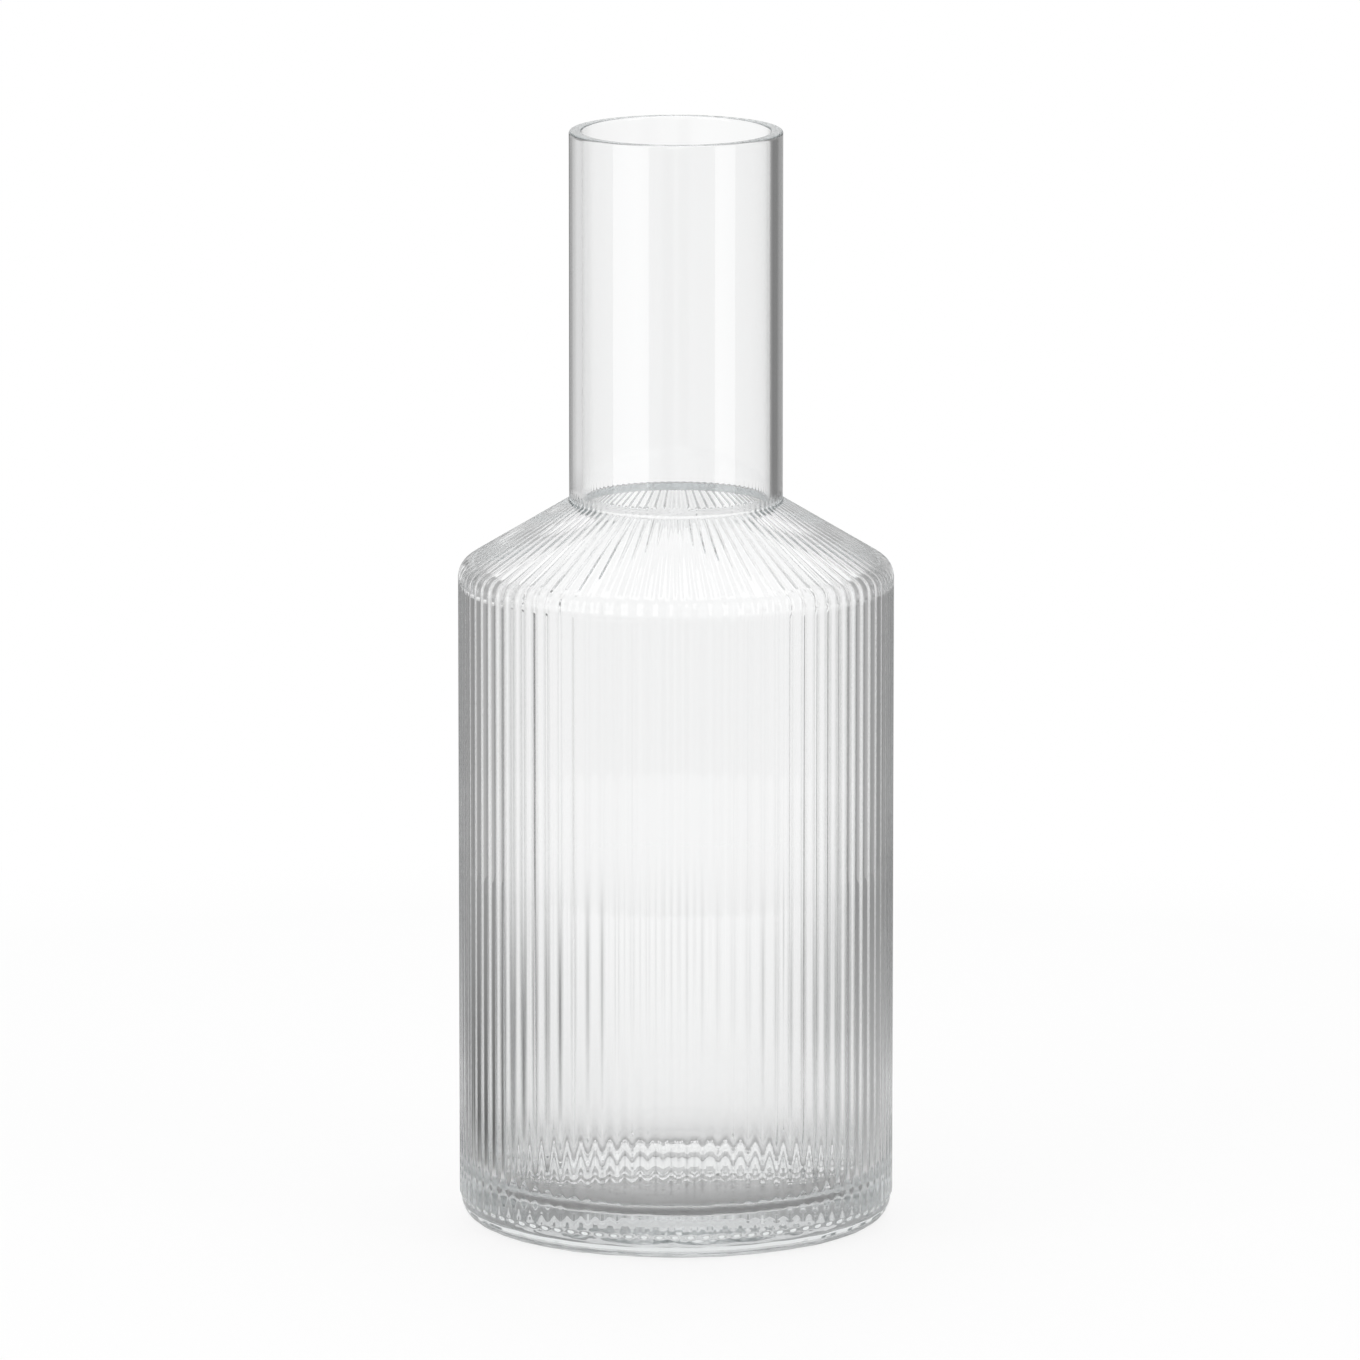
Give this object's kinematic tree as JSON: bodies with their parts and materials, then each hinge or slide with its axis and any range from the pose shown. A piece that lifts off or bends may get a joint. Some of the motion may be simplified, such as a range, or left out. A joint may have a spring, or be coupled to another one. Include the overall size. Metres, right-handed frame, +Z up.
{
  "type": "water carafe",
  "caption": "Clear glass water carafe with a finely ribbed cylindrical body, a sloping ribbed shoulder, a plain straight open neck and a thick base with a smooth rounded heel.",
  "frame": {"origin": "centre of the foot, on the surface that the carafe stands on", "axes": "+Z up along the carafe's axis, towards the mouth; the carafe is round, so X and Y are free"},
  "size_m": [0.092, 0.092, 0.233],
  "materials": {
    "clear_glass": "polished, clear and colourless"
  },
  "bodies": {
    "root": {"neck": "clear_glass", "shoulder": "clear_glass", "body": "clear_glass", "base": "clear_glass"}
  },
  "joints": []
}
